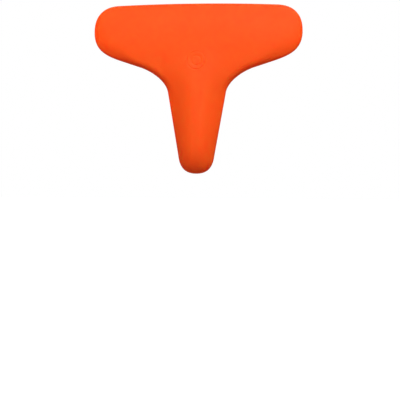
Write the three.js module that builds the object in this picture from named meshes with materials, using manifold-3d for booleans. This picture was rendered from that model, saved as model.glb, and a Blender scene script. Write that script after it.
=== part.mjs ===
// One-hand wiper: a T-shaped silicone skin moulded over a steel core plate and a two-part
// handle insert, with a thin flexible wiping lip along the top of the head.
//
// Millimetres. +Z points up the handle to the wiping edge, +X along the head, and the front
// face looks along -Y. The origin is on the handle's axis, in the middle of the grip.
// "drop" is the distance of a point below the middle of the wiping edge.

import * as THREE from "three";
import { mergeVertices } from "three/addons/utils/BufferGeometryUtils.js";
import Module from "manifold-3d";

const wasm = await Module();
wasm.setup();

// ---------------------------------------------------------------- driving dimensions

const GRIP_DROP = 110;            // the origin's distance below the wiping edge
const HALF_HEAD = 95;             // half the head's width
const HEIGHT = 154;               // wiping edge to handle end
const HALF_EDGE = 72;             // half the nearly straight part of the wiping edge
const CROWN = 1.5;                // how much lower that part is at its ends
const SHOULDER_DROP = 25.5;       // where the head is widest
const NECK_DROP = 80.2;           // where the neck's curve runs into the handle
const HALF_NECK = 26.4;
const END_DROP = 137;             // where the handle's round end starts
const HALF_END = 16.5;

const TIP_HALF = 0.7;             // half thickness of the wiping edge
const HEAD_HALF = 5.2;            // of the head
const HEAD_FULL_DROP = 44;        // where the head reaches it
const HEAD_TAPER_POWER = 1.2;
const END_THINNING = 0.12;        // share lost towards the head's two ends
const THINNING_START = 55;        // half width of the part that loses none
const RIM_SHARE = 1.15;           // width of the rounded rim over the head's half thickness
const END_RIM = 2.4;              // share by which the rim widens towards the head's ends
const END_RIM_START = 54;         // half width at which it starts to widen
const END_RIM_FULL = 86;
const GRIP_HALF = 12.5;           // of the handle's belly, in front
const BELLY_DROP = 118;
const BELLY_REACH = 44;
const LOSS_ABOVE = 3;             // lost at BELLY_REACH above the belly
const LOSS_ABOVE_POWER = 1.5;
const LOSS_BELOW = 2.4;           // and below it
const RIDGE_START = 18;           // where the handle's ridge starts to rise out of the head
const RIDGE_END = 60;
const RIDGE_CORE = 3;             // half width of the ridge's top
const RIDGE_REACH = 27;           // half width of its foot at the handle
const RIDGE_FAN = 14;             // how much wider its foot is in the head
const FAN_START = 40;             // drops between which that foot narrows
const FAN_END = 78;
const OVAL_START = 62;            // drops between which the flat head turns into the oval handle
const OVAL_FULL = 92;
const OVAL_POWER = 2.5;           // how square the handle's cross-section is; 2 is an oval
const ROUND_DROP = 129;           // where the belly starts to round off to the handle's end
const REAR_LOSS = 0.23;           // share that the handle bulges less at the back
const REAR_FLAT = 9.2;            // the back of the handle is flat at this distance

const GAP = 0.3;                  // between touching pieces
const HINGE_DROP = 13;            // where the lip starts to bend
const ROOT_MARGIN = 0.4;          // how far the lip's round root would stand out of the body

const PLATE_HALF = 0.6;
const KEY_RADIUS = 3.5;           // holes that lock the silicone to the plate
const KEY_DROP = 30;
const KEY_PLACES = [-74, -56, -38, -20, 20, 38, 56, 74];

const INSERT_SHARE = 0.76;        // the inserts' share of the body's thickness
const RIVET_RADIUS = 2;
const RIVET_HEAD_RADIUS = 3.4;
const RIVET_HEAD_DEPTH = 1.5;
const RIVET_SINK = 1;             // head below the insert's surface
const RIVET_CHAMFER = 0.4;
const RIVETS = [
  ["rivet_upper", 86],
  ["rivet_middle", 108],
  ["rivet_lower", 130],
];

const ROWS = 54;                  // rows of the body's surface below the wiping edge
const COLUMNS = 9;                // columns from the middle to each side
const ROD_FACETS = 20;
const HINGE_FACETS = 28;
const REACH = 120;                // larger than any part of the body

// ---------------------------------------------------------------- materials

const silicone = new THREE.MeshStandardMaterial({ color: 0xf25c22, roughness: 0.55, metalness: 0 });
const lipSilicone = new THREE.MeshStandardMaterial({ color: 0xf25f24, roughness: 0.5, metalness: 0 });
const steel = new THREE.MeshStandardMaterial({ color: 0xb4b8bc, roughness: 0.35, metalness: 1 });
const nylon = new THREE.MeshStandardMaterial({ color: 0x2b2d30, roughness: 0.6, metalness: 0 });
const rivetSteel = new THREE.MeshStandardMaterial({ color: 0xc8cacc, roughness: 0.3, metalness: 1 });

// ---------------------------------------------------------------- outline

// The right half of the outline from the end of the wiping edge to the handle's end, as
// (x, drop): shoulder, lower corner, underside, neck, handle, round end.
function sideOutline() {
  const path = new THREE.Path();
  path.moveTo(HALF_EDGE, CROWN);
  path.bezierCurveTo(HALF_EDGE + 15, CROWN + 0.6, HALF_HEAD, SHOULDER_DROP - 15, HALF_HEAD, SHOULDER_DROP);
  path.bezierCurveTo(HALF_HEAD, SHOULDER_DROP + 17, 83.2, 47.3, 68, 52.3);
  path.lineTo(52, 57.6);
  path.bezierCurveTo(40.6, 61.4, HALF_NECK + 1.8, NECK_DROP - 9.8, HALF_NECK, NECK_DROP);
  path.lineTo(HALF_END, END_DROP);
  path.bezierCurveTo(HALF_END - 1.2, END_DROP + 10, HALF_END - 5, HEIGHT, 0, HEIGHT);
  return path.getSpacedPoints(ROWS);
}

const SIDE = sideOutline();

function crown(x) {
  return CROWN * (x / HALF_EDGE) ** 2;
}

function smooth(value, from, to) {
  return THREE.MathUtils.smoothstep((value - from) / (to - from), 0, 1);
}

// Half the body's width at a drop.
function halfWidth(drop) {
  const below = SIDE.findIndex((point) => point.y >= drop);
  if (below <= 0) {
    return below === 0 ? HALF_EDGE : 0;
  }
  const [from, to] = [SIDE[below - 1], SIDE[below]];
  return THREE.MathUtils.mapLinear(drop, from.y, to.y, from.x, to.x);
}

// The distance from a point of the body's right half to the outline.
function edgeDistance(x, drop) {
  const point = new THREE.Vector3(x, drop, 0);
  const nearest = new THREE.Vector3();
  let distance = Math.max(drop - crown(x), 0);
  for (let i = 1; i < SIDE.length; i += 1) {
    const start = new THREE.Vector3(SIDE[i - 1].x, SIDE[i - 1].y, 0);
    const end = new THREE.Vector3(SIDE[i].x, SIDE[i].y, 0);
    new THREE.Line3(start, end).closestPointToPoint(point, true, nearest);
    distance = Math.min(distance, nearest.distanceTo(point));
  }
  return distance;
}

// ---------------------------------------------------------------- thickness of the body

function headHalf(x, drop) {
  const along = Math.min(Math.max(drop, 0) / HEAD_FULL_DROP, 1);
  const taper = Math.sin(along * Math.PI / 2) ** HEAD_TAPER_POWER;
  const thinning = 1 - END_THINNING * smooth(x, THINNING_START, HALF_HEAD);
  return TIP_HALF + (HEAD_HALF - TIP_HALF) * taper * thinning;
}

function gripHalf(drop) {
  const above = Math.max(BELLY_DROP - drop, 0) / BELLY_REACH;
  const below = Math.max(drop - BELLY_DROP, 0) / BELLY_REACH;
  return GRIP_HALF - LOSS_ABOVE * above ** LOSS_ABOVE_POWER - LOSS_BELOW * below ** 2;
}

// How much of the handle's ridge there is, fanning out into the head.
function ridgeShare(x, drop) {
  const foot = RIDGE_REACH + RIDGE_FAN * (1 - smooth(drop, FAN_START, FAN_END));
  return smooth(drop, RIDGE_START, RIDGE_END) * (1 - smooth(x, RIDGE_CORE, foot));
}

// The share of the full thickness left near the head's round rim, which is widest at its ends.
function rimShare(x, drop, head) {
  const rim = RIM_SHARE * head * (1 + END_RIM * smooth(x, END_RIM_START, END_RIM_FULL));
  const inward = Math.min(edgeDistance(x, drop) / rim, 1);
  return Math.sqrt(1 - (1 - inward) ** 2);
}

// The share left in the handle, which is oval across and rounded off at its end.
function ovalShare(x, drop) {
  const across = Math.min(x / Math.max(halfWidth(drop), 0.01), 1);
  const along = Math.min(Math.max((drop - ROUND_DROP) / (HEIGHT - ROUND_DROP), 0), 1);
  return Math.sqrt((1 - across ** OVAL_POWER) * (1 - along ** 2));
}

// Half the body's thickness at x, which isn't negative, as its front shows it.
function halfThickness(x, drop) {
  const head = headHalf(x, drop - crown(x));
  const full = THREE.MathUtils.lerp(head, gripHalf(drop), ridgeShare(x, drop));
  const handle = smooth(drop, OVAL_START, OVAL_FULL);
  return full * THREE.MathUtils.lerp(rimShare(x, drop, head), ovalShare(x, drop), handle);
}

// The same at its back, where the handle bulges less and ends in a flat.
function rearThickness(half) {
  const bulge = half * (1 - REAR_LOSS * smooth(half, HEAD_HALF, GRIP_HALF));
  return Math.min(bulge, REAR_FLAT);
}

// ---------------------------------------------------------------- solids

// A closed geometry with its shared vertices merged, as a manifold solid.
function solid(geometry) {
  const bare = geometry.clone();
  bare.deleteAttribute("normal");
  bare.deleteAttribute("uv");
  const merged = mergeVertices(bare, 1e-4);
  const corners = merged.index.array;
  const triVerts = [];
  for (let i = 0; i < corners.length; i += 3) {
    const [a, b, c] = corners.slice(i, i + 3);
    if (a !== b && b !== c && c !== a) {
      triVerts.push(a, b, c);
    }
  }
  const vertProperties = new Float32Array(merged.attributes.position.array);
  return new wasm.Manifold(new wasm.Mesh({
    numProp: 3,
    vertProperties,
    triVerts: new Uint32Array(triVerts),
  }));
}

// A solid's triangles as a flat-shaded geometry.
function geometryOf(shape) {
  const mesh = shape.getMesh();
  const positions = [];
  for (const vertex of mesh.triVerts) {
    const start = vertex * mesh.numProp;
    positions.push(...mesh.vertProperties.slice(start, start + 3));
  }
  const geometry = new THREE.BufferGeometry();
  geometry.setAttribute("position", new THREE.Float32BufferAttribute(positions, 3));
  geometry.computeVertexNormals();
  return geometry;
}

// A flat outline of (x, drop) points drawn out along Y from nearY to farY.
function prism(points, nearY, farY) {
  const shape = new THREE.Shape(points.map((point) => new THREE.Vector2(point.x, GRIP_DROP - point.y)));
  const geometry = new THREE.ExtrudeGeometry(shape, { depth: farY - nearY, bevelEnabled: false });
  geometry.rotateX(Math.PI / 2);
  geometry.translate(0, farY, 0);
  return solid(geometry);
}

// A rod along Y at x and drop.
function rod(radius, x, drop, nearY = -REACH, farY = REACH) {
  const geometry = new THREE.CylinderGeometry(radius, radius, farY - nearY, ROD_FACETS);
  geometry.translate(x, (nearY + farY) / 2, GRIP_DROP - drop);
  return solid(geometry);
}

// A rod along X on the bending line.
function hingeRod(radius) {
  const geometry = new THREE.CylinderGeometry(radius, radius, 2 * REACH, HINGE_FACETS);
  geometry.rotateZ(Math.PI / 2);
  geometry.translate(0, 0, GRIP_DROP - HINGE_DROP);
  return solid(geometry);
}

// The block of space above a drop, or in front of or behind a plane y.
function space({ aboveDrop = 2 * REACH, minY = -REACH, maxY = REACH }) {
  const height = 4 * REACH;
  const geometry = new THREE.BoxGeometry(2 * REACH, maxY - minY, height);
  geometry.translate(0, (minY + maxY) / 2, GRIP_DROP - aboveDrop + height / 2);
  return solid(geometry);
}

// ---------------------------------------------------------------- the whole body

// Each row is a ring: over the front from left to right and back over the rear.
function ringOfRow(side) {
  const level = side.y - crown(side.x);
  const ring = [];
  for (let step = 0; step < 4 * COLUMNS; step += 1) {
    const turn = step * Math.PI / (2 * COLUMNS) - Math.PI / 2;
    const x = side.x * Math.sin(turn);
    const drop = level + crown(x);
    const half = halfThickness(Math.abs(x), drop);
    const isFront = step <= 2 * COLUMNS;
    const y = isFront ? -half : rearThickness(half);
    ring.push(x, y, GRIP_DROP - drop);
  }
  return ring;
}

function bodySolid() {
  const around = 4 * COLUMNS;
  const positions = SIDE.flatMap(ringOfRow);
  const index = [];
  for (let row = 0; row + 1 < SIDE.length; row += 1) {
    for (let step = 0; step < around; step += 1) {
      const next = (step + 1) % around;
      const a = row * around + step;
      const b = row * around + next;
      index.push(a, a + around, b);
      index.push(b, a + around, b + around);
    }
  }
  const geometry = new THREE.BufferGeometry();
  geometry.setAttribute("position", new THREE.Float32BufferAttribute(positions, 3));
  geometry.setIndex(index);
  return solid(geometry);
}

const body = bodySolid();

// ---------------------------------------------------------------- outlines of the core

// A closed outline from its right half, which runs from the top to the bottom.
function mirrored(rightHalf) {
  const left = rightHalf.filter((point) => point.x > 0.01);
  return [...rightHalf, ...left.reverse().map((point) => new THREE.Vector2(-point.x, point.y))];
}

// An outline moved outwards by a distance.
function grown(points, distance) {
  return points.map((point, i) => {
    const before = points[(i + points.length - 1) % points.length];
    const after = points[(i + 1) % points.length];
    const along = after.clone().sub(before).normalize();
    return new THREE.Vector2(point.x + along.y * distance, point.y - along.x * distance);
  });
}

// T-shaped plate: a bar in the head, a neck, and a tang down the handle.
function plateOutline() {
  const path = new THREE.Path();
  path.moveTo(72, 18);
  path.bezierCurveTo(80, 18, 84, 22, 84, 28);
  path.bezierCurveTo(84, 35, 80, 38, 73, 40.5);
  path.lineTo(44, 50.5);
  path.bezierCurveTo(28, 56, 16, 62, 14.5, 76);
  path.lineTo(10.5, 134);
  path.bezierCurveTo(10, 141, 7, 144, 0, 144);
  return mirrored(path.getPoints(6));
}

// Tongue-shaped insert, one each side of the tang.
function insertOutline() {
  const path = new THREE.Path();
  path.moveTo(0, 62);
  path.bezierCurveTo(12, 62, 21, 68, 20.5, 80);
  path.lineTo(13.2, 134);
  path.bezierCurveTo(12.4, 143, 8, 149, 0, 149);
  return mirrored(path.getPoints(8));
}

// ---------------------------------------------------------------- the pieces

const rootHalf = halfThickness(0, HINGE_DROP) + ROOT_MARGIN;

// Space of the core plate, with plugs of silicone left standing in its locking holes.
function plateSpace() {
  const block = prism(grown(plateOutline(), GAP), -PLATE_HALF - GAP, PLATE_HALF + GAP);
  return KEY_PLACES.reduce((rest, x) => rest.subtract(rod(KEY_RADIUS - GAP, x, KEY_DROP)), block);
}

function insertSpace() {
  const share = INSERT_SHARE + GAP / REAR_FLAT;
  return prism(grown(insertOutline(), GAP), -REACH, REACH).intersect(body.scale([1, share, 1]));
}

function skinPiece(side) {
  return body
    .intersect(space(side))
    .subtract(space({ aboveDrop: HINGE_DROP }))
    .subtract(hingeRod(rootHalf + GAP))
    .subtract(plateSpace())
    .subtract(insertSpace());
}

function wipingLip() {
  return body.intersect(space({ aboveDrop: HINGE_DROP }).add(hingeRod(rootHalf)));
}

function corePlate() {
  const keys = KEY_PLACES.map((x) => rod(KEY_RADIUS, x, KEY_DROP));
  const rivetHoles = RIVETS.map(([, drop]) => rod(RIVET_RADIUS + GAP, 0, drop));
  const blank = prism(plateOutline(), -PLATE_HALF, PLATE_HALF);
  return [...keys, ...rivetHoles].reduce((plate, hole) => plate.subtract(hole), blank);
}

// Distance from the middle plane to the outside of a rivet's head: front negative, rear positive.
function headFace(front, drop) {
  const half = halfThickness(0, drop);
  const surface = INSERT_SHARE * (front ? half : rearThickness(half));
  return (front ? -1 : 1) * (surface - RIVET_SINK);
}

function handleInsert(front) {
  const side = front ? { maxY: -PLATE_HALF - GAP } : { minY: PLATE_HALF + GAP };
  let insert = prism(insertOutline(), -REACH, REACH)
    .intersect(body.scale([1, INSERT_SHARE, 1]))
    .intersect(space(side));
  for (const [, drop] of RIVETS) {
    const face = headFace(front, drop);
    const seat = Math.abs(face) - RIVET_HEAD_DEPTH - GAP;
    const [low, high] = front ? [-REACH, -seat] : [seat, REACH];
    insert = insert.subtract(rod(RIVET_RADIUS + GAP, 0, drop));
    insert = insert.subtract(rod(RIVET_HEAD_RADIUS + GAP, 0, drop, low, high));
  }
  return insert;
}

// A shank with a flat head at each end, turned about Y.
function rivet(drop) {
  const low = headFace(true, drop);
  const high = headFace(false, drop);
  const profile = [
    new THREE.Vector2(0, low),
    new THREE.Vector2(RIVET_HEAD_RADIUS - RIVET_CHAMFER, low),
    new THREE.Vector2(RIVET_HEAD_RADIUS, low + RIVET_CHAMFER),
    new THREE.Vector2(RIVET_HEAD_RADIUS, low + RIVET_HEAD_DEPTH),
    new THREE.Vector2(RIVET_RADIUS, low + RIVET_HEAD_DEPTH),
    new THREE.Vector2(RIVET_RADIUS, high - RIVET_HEAD_DEPTH),
    new THREE.Vector2(RIVET_HEAD_RADIUS, high - RIVET_HEAD_DEPTH),
    new THREE.Vector2(RIVET_HEAD_RADIUS, high - RIVET_CHAMFER),
    new THREE.Vector2(RIVET_HEAD_RADIUS - RIVET_CHAMFER, high),
    new THREE.Vector2(0, high),
  ];
  return solid(new THREE.LatheGeometry(profile, ROD_FACETS));
}

// ---------------------------------------------------------------- assembly

const wiper = new THREE.Group();

function addPiece(name, shape, material) {
  const mesh = new THREE.Mesh(geometryOf(shape), material);
  mesh.name = name;
  wiper.add(mesh);
  return mesh;
}

addPiece("skin_front", skinPiece({ maxY: -GAP / 2 }), silicone);
addPiece("skin_rear", skinPiece({ minY: GAP / 2 }), silicone);
addPiece("wiping_lip", wipingLip(), lipSilicone);
addPiece("core_plate", corePlate(), steel);
addPiece("handle_insert_front", handleInsert(true), nylon);
addPiece("handle_insert_rear", handleInsert(false), nylon);
for (const [name, drop] of RIVETS) {
  const piece = addPiece(name, rivet(drop), rivetSteel);
  piece.position.z = GRIP_DROP - drop;
}

export default wiper;
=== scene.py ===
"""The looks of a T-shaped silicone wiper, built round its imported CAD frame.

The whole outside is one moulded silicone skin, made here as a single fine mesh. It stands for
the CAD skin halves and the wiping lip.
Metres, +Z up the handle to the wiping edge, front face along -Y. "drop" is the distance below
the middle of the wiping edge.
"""

import math

import bmesh
import bpy
import numpy as np
from mathutils import Matrix, Vector


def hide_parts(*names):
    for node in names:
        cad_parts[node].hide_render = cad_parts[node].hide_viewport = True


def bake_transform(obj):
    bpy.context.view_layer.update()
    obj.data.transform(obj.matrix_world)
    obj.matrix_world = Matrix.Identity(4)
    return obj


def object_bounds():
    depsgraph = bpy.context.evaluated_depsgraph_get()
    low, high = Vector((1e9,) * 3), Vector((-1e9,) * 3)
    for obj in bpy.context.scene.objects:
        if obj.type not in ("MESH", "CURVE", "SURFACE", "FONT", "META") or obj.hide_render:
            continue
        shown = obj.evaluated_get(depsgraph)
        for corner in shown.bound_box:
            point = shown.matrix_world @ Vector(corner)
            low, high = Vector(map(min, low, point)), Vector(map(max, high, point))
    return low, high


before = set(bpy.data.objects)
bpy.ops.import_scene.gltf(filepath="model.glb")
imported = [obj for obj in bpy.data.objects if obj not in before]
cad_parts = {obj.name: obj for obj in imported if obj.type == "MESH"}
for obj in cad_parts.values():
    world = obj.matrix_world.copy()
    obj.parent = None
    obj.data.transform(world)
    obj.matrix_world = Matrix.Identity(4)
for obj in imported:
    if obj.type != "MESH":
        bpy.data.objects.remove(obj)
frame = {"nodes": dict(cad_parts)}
CAD_LOW, CAD_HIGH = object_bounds()

MM = 0.001

# ------------------------------------------------------------------ driving dimensions

TOP_Z = CAD_HIGH.z
HEIGHT = CAD_HIGH.z - CAD_LOW.z
HALF_HEAD = CAD_HIGH.x
GRIP_HALF = -CAD_LOW.y            # the belly of the handle, in front of the middle plane
REAR_FLAT = CAD_HIGH.y            # where the flat on the handle's back is

HALF_EDGE = 72 * MM               # half the nearly straight part of the wiping edge
CROWN = 1.5 * MM                  # how much lower that part is at its ends
SHOULDER_DROP = 25.5 * MM         # where the head is widest
NECK_DROP = 80.2 * MM             # where the neck's curve runs into the handle
HALF_NECK = 26.4 * MM
END_DROP = 137 * MM               # where the handle's round end starts
HALF_END = 16.5 * MM
ROUND_DROP = 129 * MM             # where the belly starts to round off to that end

TIP_HALF = 0.7 * MM               # half thickness of the wiping edge
HEAD_HALF = 5.2 * MM              # of the head
HEAD_FULL_DROP = 44 * MM          # where the head reaches it
HEAD_TAPER_POWER = 1.2
END_THINNING = 0.12               # share lost towards the head's two ends
THINNING_START = 55 * MM          # half width of the part that loses none
RIM_SHARE = 1.15                  # width of the rounded rim over the head's half thickness
END_RIM = 2.4                     # share by which the rim widens towards the ends
END_RIM_START = 54 * MM           # half width at which it starts to widen
END_RIM_FULL = 86 * MM
BELLY_DROP = 118 * MM
BELLY_REACH = 44 * MM
LOSS_ABOVE = 3.0 * MM             # thickness lost at BELLY_REACH above the belly
LOSS_ABOVE_POWER = 1.5
LOSS_BELOW = 2.4 * MM             # and below it
RIDGE_START = 18 * MM             # where the handle's ridge starts to rise out of the head
RIDGE_END = 60 * MM
RIDGE_CORE = 3 * MM               # half width of the ridge's top
RIDGE_REACH = 27 * MM             # half width of its foot at the handle
RIDGE_FAN = 14 * MM               # how much wider its foot is in the head
FAN_START = 40 * MM               # drops between which that foot narrows
FAN_END = 78 * MM
OVAL_START = 62 * MM              # drops between which the flat head turns into the oval handle
OVAL_FULL = 92 * MM
OVAL_POWER = 2.5                  # how square the handle's cross-section is; 2 is an oval
REAR_LOSS = 0.23                  # share that the handle bulges less at the back
FLAT_SOFTNESS = 0.25 * MM         # how softly the back runs into its flat

ROWS = 190                        # rows of the skin's mesh below the wiping edge
STEPS = 196                       # steps round each row, a multiple of four
RIM_STEPS = (0.22, 0.45, 0.72)    # extra steps each side of the rim, for the parting line
OUTLINE_POINTS = 260              # for distances to the outline
WELD = 0.002 * MM                 # points nearer to each other than this are one
SLIVER = 0.001 * MM               # edges shorter than this are dropped
RIM_HALF = 0.3 * MM               # points this near to the middle plane stay where they are
DETAIL_CUTS = 4                   # each face's extra cuts at the small features

PARTING_HEIGHT = 0.13 * MM
PARTING_WIDTH = 0.16 * MM
PARTING_FROM_DROP = 9 * MM        # the thin lip is trimmed clean above this
PARTING_FADE = 4 * MM             # the length over which it starts
PARTING_REACH = 0.5 * MM          # only points this near to the outline are raised

ROUNDEL_DROP = 52 * MM            # plain round mark on the front of the neck
ROUNDEL_RADIUS = 8.2 * MM
ROUNDEL_INNER_RADIUS = 4.3 * MM
ROUNDEL_GROOVE = 0.36 * MM
ROUNDEL_GROOVE_WIDTH = 0.5 * MM
ROUNDEL_DISH = 0.25 * MM
ROUNDEL_MARGIN = 2.5 * MM         # of finer mesh round it
ROUNDEL_LIMIT = 0.5               # share of the half thickness that it may cut away

PIN_MARKS = [(x * MM, 30 * MM) for x in (-65, -29, 29, 65)] + [(0, 92 * MM), (0, 134 * MM)]
PIN_RADIUS = 1.7 * MM             # where the mould's pins held the core, on the back
PIN_DEPTH = 0.6 * MM
PIN_SOFTNESS = 0.3 * MM
PIN_MARGIN = 1.2 * MM             # of finer mesh round each
PIN_LIMIT = 0.3                   # share of the half thickness that it may cut away

WARM = (1, 0.83, 0.79)
SOFTBOX_SIZE = 2.2
KEY_OFFSET = Vector((0.7, -3.1, 3.1))      # from the part's middle
KEY_POWER = 270
BACK_OFFSET = Vector((-1.3, 3.0, 2.8))
BACK_POWER = 240
HAND_BOUNCE = (0.66, 0.06, 0.22)  # the reddish light that a hand and arm throw back
BACKDROP = (1, 1, 1)
FLOOR_RADIUS = 14
FLOOR_GAP = 0.34                  # below the part, which a hand would hold up

CAMERA_DISTANCE = 0.9
CAMERA_AZIMUTH = 6.71             # degrees to the right of the front, at the body's middle
CAMERA_ELEVATION = -5.09          # just below the body's middle
AIM_RIGHT = 0.24                  # degrees that the camera turns away from that middle
AIM_DOWN = 6.44
ROLL = 0.53
FOCAL_SHARE = 2.4635              # focal length over the sensor's width
SENSOR = 36.0                     # the sensor's width, in the camera's millimetres


# ------------------------------------------------------------------ outline

def smooth(value, start, end):
    t = np.clip((value - start) / (end - start), 0, 1)
    return t * t * (3 - 2 * t)


def bezier(p0, p1, p2, p3, count=80):
    t = np.linspace(0, 1, count, endpoint=False)[:, None]
    p0, p1, p2, p3 = (np.array(p, float) for p in (p0, p1, p2, p3))
    return (1 - t) ** 3 * p0 + 3 * (1 - t) ** 2 * t * p1 + 3 * (1 - t) * t * t * p2 + t ** 3 * p3


def straight(start, end, count=80):
    return np.linspace(start, end, count, endpoint=False)


def side_outline():
    """The right half of the outline as (x, drop), from the wiping edge's end to the handle's."""
    edge_end = (HALF_EDGE, CROWN)
    shoulder = (HALF_HEAD, SHOULDER_DROP)
    underside_start = (68 * MM, 52.3 * MM)
    underside_end = (52 * MM, 57.6 * MM)
    neck = (HALF_NECK, NECK_DROP)
    end_start = (HALF_END, END_DROP)
    tip = (0, HEIGHT)
    return np.concatenate([
        bezier(edge_end, (HALF_EDGE + 15 * MM, CROWN + 0.6 * MM),
               (HALF_HEAD, SHOULDER_DROP - 15 * MM), shoulder),
        bezier(shoulder, (HALF_HEAD, SHOULDER_DROP + 17 * MM),
               (83.2 * MM, 47.3 * MM), underside_start),
        straight(underside_start, underside_end),
        bezier(underside_end, (40.6 * MM, 61.4 * MM),
               (HALF_NECK + 1.8 * MM, NECK_DROP - 9.8 * MM), neck),
        straight(neck, end_start),
        bezier(end_start, (HALF_END - 1.2 * MM, END_DROP + 10 * MM),
               (HALF_END - 5 * MM, HEIGHT), tip),
        [tip],
    ])


SIDE = side_outline()


def even_points(points, count):
    """Points evenly spaced along a line of points."""
    lengths = np.linalg.norm(np.diff(points, axis=0), axis=1)
    along = np.concatenate([[0], np.cumsum(lengths)])
    wanted = np.linspace(0, along[-1], count)
    return np.stack([np.interp(wanted, along, points[:, i]) for i in range(2)], axis=1)


def crown(x):
    return CROWN * (x / HALF_EDGE) ** 2


def half_width(drop):
    return np.interp(drop, SIDE[:, 1], SIDE[:, 0])


def edge_distance(x, drop):
    """The distance from points of the right half to the outline."""
    points = np.stack([x, drop], axis=1)
    nearest = np.maximum(drop - crown(x), 0)
    corners = even_points(SIDE, OUTLINE_POINTS)
    for start, end in zip(corners[:-1], corners[1:]):
        along = end - start
        t = np.clip((points - start) @ along / (along @ along), 0, 1)
        gap = np.linalg.norm(points - start - t[:, None] * along, axis=1)
        nearest = np.minimum(nearest, gap)
    return nearest


# ------------------------------------------------------------------ thickness of the body

def head_half(x, drop):
    along = np.clip(drop / HEAD_FULL_DROP, 0, 1)
    taper = np.sin(along * math.pi / 2) ** HEAD_TAPER_POWER
    thinning = 1 - END_THINNING * smooth(x, THINNING_START, HALF_HEAD)
    return TIP_HALF + (HEAD_HALF - TIP_HALF) * taper * thinning


def grip_half(drop):
    above = np.maximum(BELLY_DROP - drop, 0) / BELLY_REACH
    below = np.maximum(drop - BELLY_DROP, 0) / BELLY_REACH
    return GRIP_HALF - LOSS_ABOVE * above ** LOSS_ABOVE_POWER - LOSS_BELOW * below ** 2


def ridge_share(x, drop):
    """How much of the handle's ridge there is, fanning out into the head."""
    foot = RIDGE_REACH + RIDGE_FAN * (1 - smooth(drop, FAN_START, FAN_END))
    return smooth(drop, RIDGE_START, RIDGE_END) * (1 - smooth(x, RIDGE_CORE, foot))


def half_thickness(x, drop):
    """Half the body's thickness at points with x not negative, as the front shows it."""
    head = head_half(x, drop - crown(x))
    full = head * (1 - ridge_share(x, drop)) + grip_half(drop) * ridge_share(x, drop)
    rim = RIM_SHARE * head * (1 + END_RIM * smooth(x, END_RIM_START, END_RIM_FULL))
    rim_share = np.sqrt(1 - (1 - np.minimum(edge_distance(x, drop) / rim, 1)) ** 2)
    across = np.clip(x / np.maximum(half_width(drop), 1e-6), 0, 1)
    along = np.clip((drop - ROUND_DROP) / (HEIGHT - ROUND_DROP), 0, 1)
    oval_share = np.sqrt((1 - across ** OVAL_POWER) * (1 - along ** 2))
    handle = smooth(drop, OVAL_START, OVAL_FULL)
    return full * (rim_share * (1 - handle) + oval_share * handle)


def rear_thickness(half):
    """The same at the back, where the handle bulges less and runs softly into its flat."""
    bulge = half * (1 - REAR_LOSS * smooth(half, HEAD_HALF, GRIP_HALF))
    return bulge - FLAT_SOFTNESS * np.logaddexp(0, (bulge - REAR_FLAT) / FLAT_SOFTNESS)


# ------------------------------------------------------------------ small moulded features

def roundel_depth(x, drop):
    """Two shallow rings with a slight dish inside them, on the front of the neck."""
    radius = np.hypot(x, drop - ROUNDEL_DROP)
    depth = ROUNDEL_DISH * (1 - smooth(radius, ROUNDEL_INNER_RADIUS, ROUNDEL_RADIUS))
    for ring in (ROUNDEL_RADIUS, ROUNDEL_INNER_RADIUS):
        depth += ROUNDEL_GROOVE * np.exp(-((radius - ring) / ROUNDEL_GROOVE_WIDTH) ** 2)
    return depth


def pin_depth(x, drop):
    """Round pits on the back, left by the pins that held the core in the mould."""
    depth = np.zeros_like(x)
    for pin_x, pin_drop in PIN_MARKS:
        radius = np.hypot(x - pin_x, drop - pin_drop)
        wall = smooth(radius, PIN_RADIUS + PIN_SOFTNESS, PIN_RADIUS - PIN_SOFTNESS)
        depth += PIN_DEPTH * wall
    return depth


def refine(bm, x, drop, radius, rear):
    """Splits the faces of one side of the skin within a radius of a point."""
    centre = Vector((x, 0, TOP_Z - drop))
    faces = []
    for face in bm.faces:
        middle = face.calc_center_median()
        flat_gap = math.hypot(middle.x - centre.x, middle.z - centre.z)
        if flat_gap < radius and (middle.y > 0) == rear:
            faces.append(face)
    edges = {edge for face in faces for edge in face.edges}
    bmesh.ops.subdivide_edges(bm, edges=list(edges), cuts=DETAIL_CUTS, use_grid_fill=True)


# ------------------------------------------------------------------ the skin

def ring_turns():
    """The angles round a row: -90 degrees at the left rim, 0 in the middle of the front."""
    step = 2 * math.pi / STEPS
    turns = [i * step - math.pi / 2 for i in range(STEPS)]
    for rim in (-math.pi / 2, math.pi / 2):
        turns += [rim + sign * part * step for part in RIM_STEPS for sign in (-1, 1)]
    return np.array(sorted((turn + math.pi / 2) % (2 * math.pi) - math.pi / 2 for turn in turns))


def skin_grid():
    """Rows of rings as arrays of x, drop and whether a vertex is on the front."""
    side = even_points(SIDE, ROWS)
    turns = ring_turns()
    x = side[:, :1] * np.sin(turns)[None, :]
    level = side[:, 1:] - crown(side[:, :1])
    drop = level + crown(x)
    front = np.broadcast_to(np.cos(turns)[None, :] >= 0, x.shape)
    return x, drop, front


def skin_faces(rows, around):
    faces = []
    for row in range(rows - 1):
        for i in range(around):
            j = (i + 1) % around
            a, b = row * around + i, row * around + j
            faces.append((a, a + around, b + around, b))
    return faces


def face_y(x, drop, front):
    """The skin's y at points, front or rear."""
    half = half_thickness(np.abs(x), drop)
    front_y = -(half - np.minimum(roundel_depth(x, drop), ROUNDEL_LIMIT * half))
    rear_y = rear_thickness(half) - np.minimum(pin_depth(x, drop), PIN_LIMIT * half)
    return np.where(front, front_y, np.maximum(rear_y, 0))


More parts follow.
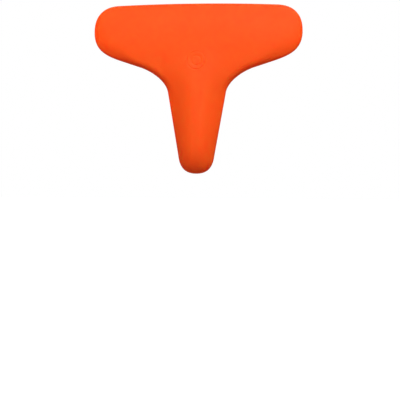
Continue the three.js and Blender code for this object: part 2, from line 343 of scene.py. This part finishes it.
def add_parting_line(coordinates):
    """Raises the fine ridge where the two halves of the mould met."""
    x, y, drop = coordinates[:, 0], coordinates[:, 1], TOP_Z - coordinates[:, 2]
    widening = half_width(drop + MM / 2) - half_width(drop - MM / 2)
    outward = np.stack([np.full_like(x, MM), widening], axis=1)
    outward /= np.linalg.norm(outward, axis=1)[:, None]
    near_rim = edge_distance(np.abs(x), drop) < PARTING_REACH
    height = PARTING_HEIGHT * np.exp(-(y / PARTING_WIDTH) ** 2) * near_rim
    height *= smooth(drop, PARTING_FROM_DROP, PARTING_FROM_DROP + PARTING_FADE)
    coordinates[:, 0] += np.sign(x) * outward[:, 0] * height
    coordinates[:, 2] += outward[:, 1] * height
    return coordinates


def fill_with_rings(bm, mesh):
    """Fills a bmesh with the grid of rings, by way of the mesh, and welds its pinched ends."""
    x, drop, front = (values.ravel() for values in skin_grid())
    points = np.stack([x, face_y(x, drop, front), TOP_Z - drop], axis=1)
    mesh.from_pydata(points.tolist(), [], skin_faces(ROWS, len(ring_turns())))
    bm.from_mesh(mesh)
    bmesh.ops.remove_doubles(bm, verts=bm.verts, dist=WELD)
    bmesh.ops.dissolve_degenerate(bm, edges=bm.edges, dist=SLIVER)


def refine_details(bm):
    refine(bm, 0, ROUNDEL_DROP, ROUNDEL_RADIUS + ROUNDEL_MARGIN, rear=False)
    for pin_x, pin_drop in PIN_MARKS:
        refine(bm, pin_x, pin_drop, PIN_RADIUS + PIN_MARGIN, rear=True)


def settle(bm):
    """Moves every point onto the exact surface, then raises the parting line."""
    points = np.array([vertex.co[:] for vertex in bm.verts])
    on_front = points[:, 1] < 0
    inner = np.abs(points[:, 1]) > RIM_HALF
    exact = face_y(points[:, 0], TOP_Z - points[:, 2], on_front)
    points[:, 1] = np.where(inner, exact, points[:, 1])
    for vertex, point in zip(bm.verts, add_parting_line(points)):
        vertex.co = point


def make_skin():
    mesh = bpy.data.meshes.new("silicone_skin")
    bm = bmesh.new()
    fill_with_rings(bm, mesh)
    refine_details(bm)
    settle(bm)
    bmesh.ops.recalc_face_normals(bm, faces=bm.faces)
    for face in bm.faces:
        face.smooth = True
    bm.to_mesh(mesh)
    bm.free()

    skin = bpy.data.objects.new("silicone_skin", mesh)
    bpy.context.scene.collection.objects.link(skin)
    return skin


# ------------------------------------------------------------------ materials

def new_material(name):
    material = bpy.data.materials.new(name)
    material.use_nodes = True
    nodes = material.node_tree.nodes
    nodes.clear()
    output = nodes.new("ShaderNodeOutputMaterial")
    shader = nodes.new("ShaderNodeBsdfPrincipled")
    material.node_tree.links.new(shader.outputs["BSDF"], output.inputs["Surface"])
    return material, shader


def add_node(material, kind, **settings):
    """A node with its properties and its unlinked inputs set."""
    node = material.node_tree.nodes.new(kind)
    for key, value in settings.items():
        if key in node.inputs:
            node.inputs[key].default_value = value
        else:
            setattr(node, key, value)
    return node


def noise(material, scale, detail=3.0, roughness=0.5, stretch=(1, 1, 1)):
    """Noise in the piece's own space, scale in features for each metre."""
    place = add_node(material, "ShaderNodeTexCoord")
    mapping = add_node(material, "ShaderNodeMapping", Scale=stretch)
    texture = add_node(material, "ShaderNodeTexNoise", Scale=scale, Detail=detail, Roughness=roughness)
    material.node_tree.links.new(place.outputs["Object"], mapping.inputs["Vector"])
    material.node_tree.links.new(mapping.outputs["Vector"], texture.inputs["Vector"])
    return texture.outputs["Fac"]


def ramp(material, source, low, high, start=0.3, end=0.7):
    """Turns a factor into a colour between low and high."""
    node = add_node(material, "ShaderNodeValToRGB")
    node.color_ramp.elements[0].position = start
    node.color_ramp.elements[0].color = (*low, 1)
    node.color_ramp.elements[1].position = end
    node.color_ramp.elements[1].color = (*high, 1)
    material.node_tree.links.new(source, node.inputs["Fac"])
    return node.outputs["Color"]


def spread(material, source, low, high, start=0.25, end=0.75):
    """Turns a factor into a number between low and high."""
    node = add_node(material, "ShaderNodeMapRange")
    node.inputs["From Min"].default_value = start
    node.inputs["From Max"].default_value = end
    node.inputs["To Min"].default_value = low
    node.inputs["To Max"].default_value = high
    material.node_tree.links.new(source, node.inputs["Value"])
    return node.outputs["Result"]


def bump(material, shader, source, distance):
    """Adds fine relief to a shader, on top of any that it has."""
    node = add_node(material, "ShaderNodeBump", Distance=distance)
    material.node_tree.links.new(source, node.inputs["Height"])
    normal = shader.inputs["Normal"]
    if normal.is_linked:
        material.node_tree.links.new(normal.links[0].from_socket, node.inputs["Normal"])
    material.node_tree.links.new(node.outputs["Normal"], normal)


def silicone():
    """Matte orange silicone: a fine moulded texture, and a faint cloudiness from handling."""
    material, shader = new_material("silicone")
    clouds = noise(material, 22, detail=4)
    color = ramp(material, clouds, (0.670, 0.110, 0.0085), (0.685, 0.117, 0.0098))
    material.node_tree.links.new(color, shader.inputs["Base Color"])
    handling = noise(material, 60, detail=5, roughness=0.6)
    material.node_tree.links.new(spread(material, handling, 0.5, 0.6), shader.inputs["Roughness"])
    shader.inputs["Specular IOR Level"].default_value = 0.1
    shader.inputs["Subsurface Weight"].default_value = 0.8
    shader.inputs["Subsurface Radius"].default_value = (1.0, 0.06, 0.03)
    shader.inputs["Subsurface Scale"].default_value = 14 * MM
    bump(material, shader, noise(material, 2600, detail=2), 0.012 * MM)
    bump(material, shader, noise(material, 260, detail=2), 0.02 * MM)
    return material


def rolled_steel():
    """Spring-steel sheet with fine rolling lines along its length."""
    material, shader = new_material("rolled_steel")
    lines = noise(material, 900, detail=3, stretch=(0.06, 1, 1))
    color = ramp(material, lines, (0.50, 0.51, 0.53), (0.62, 0.63, 0.65))
    material.node_tree.links.new(color, shader.inputs["Base Color"])
    material.node_tree.links.new(spread(material, lines, 0.28, 0.42), shader.inputs["Roughness"])
    shader.inputs["Metallic"].default_value = 1.0
    bump(material, shader, lines, 0.01 * MM)
    return material


def filled_nylon():
    """Dark glass-filled nylon with the swirl of short fibres at its surface."""
    material, shader = new_material("filled_nylon")
    fibres = noise(material, 1400, detail=4, stretch=(1, 1, 0.25))
    color = ramp(material, fibres, (0.022, 0.024, 0.026), (0.036, 0.038, 0.041))
    material.node_tree.links.new(color, shader.inputs["Base Color"])
    material.node_tree.links.new(spread(material, fibres, 0.5, 0.68), shader.inputs["Roughness"])
    bump(material, shader, fibres, 0.02 * MM)
    return material


def turned_steel():
    """Bright stainless rivets with a faint tumbled texture."""
    material, shader = new_material("turned_steel")
    tumbled = noise(material, 3000, detail=2)
    color = ramp(material, tumbled, (0.62, 0.63, 0.64), (0.72, 0.73, 0.74))
    material.node_tree.links.new(color, shader.inputs["Base Color"])
    material.node_tree.links.new(spread(material, tumbled, 0.2, 0.3), shader.inputs["Roughness"])
    shader.inputs["Metallic"].default_value = 1.0
    bump(material, shader, tumbled, 0.006 * MM)
    return material


def dress(obj, material):
    obj.data.materials.clear()
    obj.data.materials.append(material)


# ------------------------------------------------------------------ stage, light and camera

def make_floor():
    """A wide pale floor well below the part."""
    bm = bmesh.new()
    bmesh.ops.create_circle(bm, cap_ends=True, segments=96, radius=FLOOR_RADIUS)
    mesh = bpy.data.meshes.new("floor")
    bm.to_mesh(mesh)
    bm.free()
    floor = bpy.data.objects.new("floor", mesh)
    floor.location.z = CAD_LOW.z - FLOOR_GAP
    bpy.context.scene.collection.objects.link(floor)
    dress(floor, pale_paper())


def pale_paper():
    """White paper that shows bright, but throws little light back up at the part."""
    material, shader = new_material("pale_paper")
    nodes, links = material.node_tree.nodes, material.node_tree.links
    color = ramp(material, noise(material, 3), (0.88, 0.88, 0.88), (0.90, 0.90, 0.90))
    links.new(color, shader.inputs["Base Color"])
    shader.inputs["Roughness"].default_value = 0.9
    shader.inputs["Specular IOR Level"].default_value = 0.1
    shader.inputs["Emission Color"].default_value = (1, 1, 1, 1)
    shader.inputs["Emission Strength"].default_value = 1.0
    dim = nodes.new("ShaderNodeBsdfDiffuse")
    dim.inputs["Color"].default_value = (0.2, 0.2, 0.2, 1)
    path = nodes.new("ShaderNodeLightPath")
    mix = nodes.new("ShaderNodeMixShader")
    output = next(node for node in nodes if node.type == "OUTPUT_MATERIAL")
    links.new(path.outputs["Is Camera Ray"], mix.inputs["Fac"])
    links.new(dim.outputs["BSDF"], mix.inputs[1])
    links.new(shader.outputs["BSDF"], mix.inputs[2])
    links.new(mix.outputs["Shader"], output.inputs["Surface"])
    return material


def make_world():
    """A white backdrop for the camera, and a dim reddish light on the part from all round."""
    world = bpy.data.worlds.new("studio")
    bpy.context.scene.world = world
    world.use_nodes = True
    nodes, links = world.node_tree.nodes, world.node_tree.links
    nodes.clear()
    output = nodes.new("ShaderNodeOutputWorld")
    mix = nodes.new("ShaderNodeMixShader")
    path = nodes.new("ShaderNodeLightPath")
    for slot, color in ((1, HAND_BOUNCE), (2, BACKDROP)):
        light = nodes.new("ShaderNodeBackground")
        light.inputs["Color"].default_value = (*color, 1)
        links.new(light.outputs["Background"], mix.inputs[slot])
    links.new(path.outputs["Is Camera Ray"], mix.inputs["Fac"])
    links.new(mix.outputs["Shader"], output.inputs["Surface"])
    world.cycles_visibility.glossy = False


def add_softbox(name, offset, power, glossy):
    """A round warm softbox aimed at the part's middle."""
    light = bpy.data.lights.new(name, "AREA")
    light.shape = "DISK"
    light.size = SOFTBOX_SIZE
    light.energy = power
    light.color = WARM
    lamp = bpy.data.objects.new(name, light)
    lamp.location = (CAD_LOW + CAD_HIGH) / 2 + offset
    lamp.visible_glossy = glossy
    lamp.rotation_mode = "QUATERNION"
    lamp.rotation_quaternion = (-offset).to_track_quat("-Z", "Y")
    bpy.context.scene.collection.objects.link(lamp)


def add_lights():
    """A softbox in front, high and a little to the right, and one behind without a sheen."""
    add_softbox("key", KEY_OFFSET, KEY_POWER, glossy=True)
    add_softbox("back", BACK_OFFSET, BACK_POWER, glossy=False)


def add_camera():
    """Level with the grip, a little to the right, so that the part is high in the frame."""
    middle = Vector((0, 0, (CAD_LOW.z + CAD_HIGH.z) / 2))
    azimuth, elevation = math.radians(CAMERA_AZIMUTH), math.radians(CAMERA_ELEVATION)
    back = Vector((
        math.sin(azimuth) * math.cos(elevation),
        -math.cos(azimuth) * math.cos(elevation),
        math.sin(elevation),
    ))
    data = bpy.data.cameras.new("camera")
    data.sensor_width = SENSOR
    data.lens = FOCAL_SHARE * SENSOR
    data.clip_start, data.clip_end = 0.01, 60
    camera = bpy.data.objects.new("camera", data)
    turn = back.to_track_quat("Z", "Y").to_matrix()
    turn = turn @ Matrix.Rotation(-math.radians(AIM_RIGHT), 3, "Y")
    turn = turn @ Matrix.Rotation(-math.radians(AIM_DOWN), 3, "X")
    turn = turn @ Matrix.Rotation(math.radians(ROLL), 3, "Z")
    camera.matrix_world = Matrix.Translation(middle + back * CAMERA_DISTANCE) @ turn.to_4x4()
    bpy.context.scene.collection.objects.link(camera)
    bpy.context.scene.camera = camera


# ------------------------------------------------------------------ assembly

def dress_core():
    """The pieces inside the skin keep their CAD shapes and get their own finishes."""
    nodes = frame["nodes"]
    nylon, steel = filled_nylon(), turned_steel()
    dress(nodes["core_plate"], rolled_steel())
    for name in ("handle_insert_front", "handle_insert_rear"):
        dress(nodes[name], nylon)
    for name in ("rivet_upper", "rivet_middle", "rivet_lower"):
        dress(nodes[name], steel)


def add_skin():
    skin = make_skin()
    dress(skin, silicone())
    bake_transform(skin)
    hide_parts("skin_front", "skin_rear", "wiping_lip")


add_camera()
dress_core()
add_skin()
make_floor()
make_world()
add_lights()
bpy.context.scene.view_settings.view_transform = "Standard"
